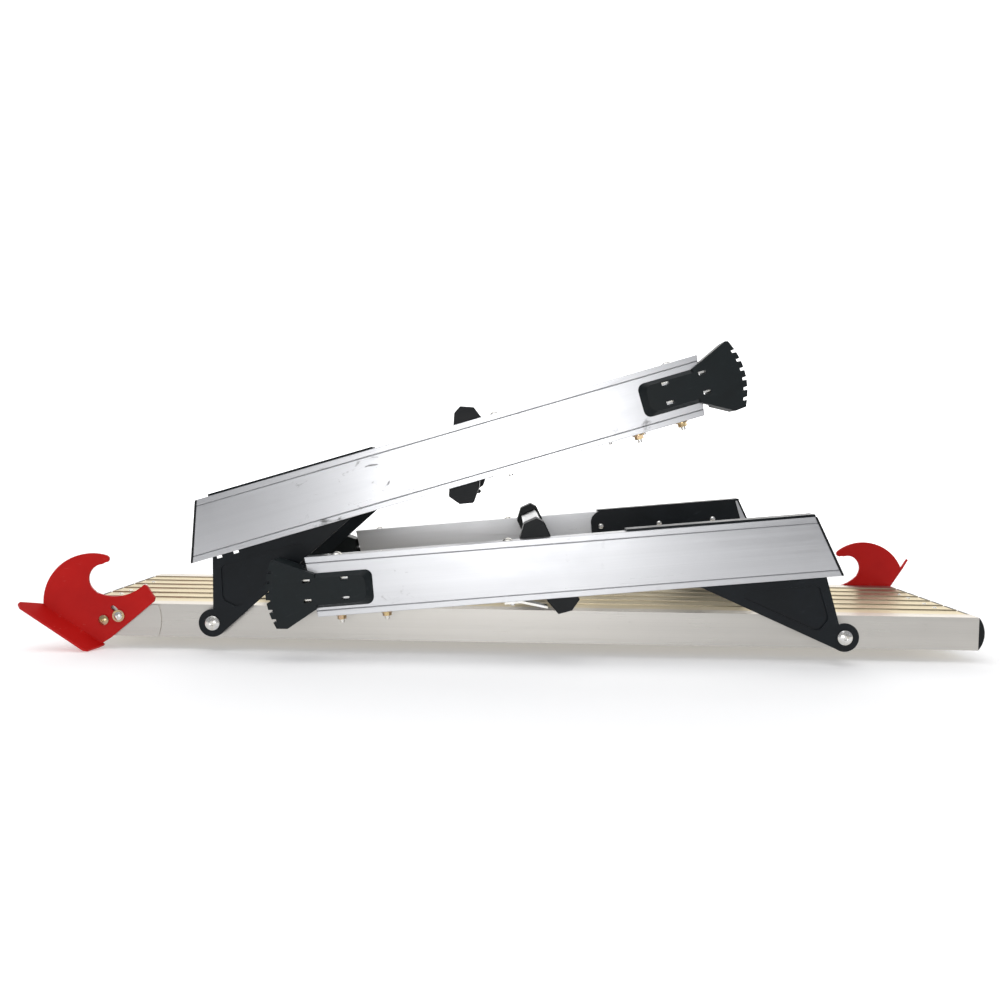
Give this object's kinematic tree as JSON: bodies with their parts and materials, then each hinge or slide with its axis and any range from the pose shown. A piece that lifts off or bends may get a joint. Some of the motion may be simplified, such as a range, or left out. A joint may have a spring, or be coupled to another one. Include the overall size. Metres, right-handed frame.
{
  "type": "folding step platform",
  "caption": "Folding aluminium step platform stored face down: hinged leg frames with a step, rubber feet and red latch hooks.",
  "frame": {"origin": "centre of the walking face, which lies face down in the stored position", "axes": "+X along the deck, +Y across it away from the near side, +Z from the walking face through the deck to the folded legs"},
  "size_m": [1.31, 0.456, 0.4144],
  "materials": {
    "aluminium": "brushed extrusion with fine lengthwise lines",
    "underside_aluminium": "glossy mill-finish extrusion",
    "red_paint": "satin powder coat",
    "foot_rubber": "matt moulded rubber",
    "black_plastic": "fine moulded grain",
    "black_paint": "satin black coating",
    "yellow_zinc": "yellow zinc plating",
    "bright_steel": "bright zinc plating"
  },
  "bodies": {
    "deck": {"deck_rail_near": "aluminium", "deck_rail_far": "aluminium", "deck_plank_1": "underside_aluminium", "deck_plank_2": "underside_aluminium", "deck_plank_3": "underside_aluminium", "deck_plugs_left": "black_plastic", "deck_plugs_right": "black_plastic", "deck_caps_left": "black_plastic", "deck_caps_right": "black_plastic", "deck_rivets": "bright_steel", "hook_doubler_near": "aluminium", "hook_doubler_far": "aluminium", "hook_pivot_bolts": "yellow_zinc", "hook_stop_bolts": "bright_steel", "hook_stop_washers": "yellow_zinc", "upper_pivot_bolts": "bright_steel", "upper_pivot_bushes": "bright_steel", "lower_pivot_bolts": "bright_steel", "lower_pivot_bushes": "bright_steel", "pivot_nuts": "bright_steel"},
    "upper_leg": {"upper_rail_near": "aluminium", "upper_rail_far": "aluminium", "upper_rail_caps": "black_plastic", "upper_bracket_near": "black_paint", "upper_bracket_far": "black_paint", "upper_bracket_rivets": "bright_steel", "upper_tread": "aluminium", "upper_tread_end_near": "black_plastic", "upper_tread_end_far": "black_plastic", "upper_braces": "bright_steel", "upper_lock_rod": "bright_steel", "upper_foot_near": "foot_rubber", "upper_foot_far": "foot_rubber", "upper_rail_bolts": "bright_steel", "upper_rail_nuts": "yellow_zinc"},
    "lower_leg": {"lower_rail_near": "aluminium", "lower_rail_far": "aluminium", "lower_rail_caps": "black_plastic", "lower_bracket_near": "black_paint", "lower_bracket_far": "black_paint", "lower_bracket_rivets": "bright_steel", "lower_tread": "aluminium", "lower_tread_end_near": "black_plastic", "lower_tread_end_far": "black_plastic", "lower_braces": "bright_steel", "lower_lock_rod": "bright_steel", "lower_foot_near": "foot_rubber", "lower_foot_far": "foot_rubber", "lower_rail_bolts": "bright_steel", "lower_rail_nuts": "yellow_zinc"},
    "near_hook": {"near_hook": "red_paint"},
    "far_hook": {"far_hook": "red_paint"}
  },
  "joints": [
    {"name": "upper_leg_hinge", "type": "hinge", "parent": "deck", "child": "upper_leg", "pos_m": [-0.417, 0, 0.022], "axis": [0, -1, 0], "range_deg": [0, 91]},
    {"name": "lower_leg_hinge", "type": "hinge", "parent": "deck", "child": "lower_leg", "pos_m": [0.408, 0, 0.022], "axis": [0, 1, 0], "range_deg": [0, 113.5]},
    {"name": "near_hook_turn", "type": "hinge", "parent": "deck", "child": "near_hook", "pos_m": [-0.565, -0.154, 0.022], "axis": [0, 1, 0], "range_deg": [0, 37]},
    {"name": "far_hook_turn", "type": "hinge", "parent": "deck", "child": "far_hook", "pos_m": [0.553, 0.154, 0.022], "axis": [0, -1, 0], "range_deg": [-24, 13]}
  ],
  "couplings": [
    {"joint": "lower_leg_hinge", "follows": "upper_leg_hinge", "ratio": 1.247}
  ]
}
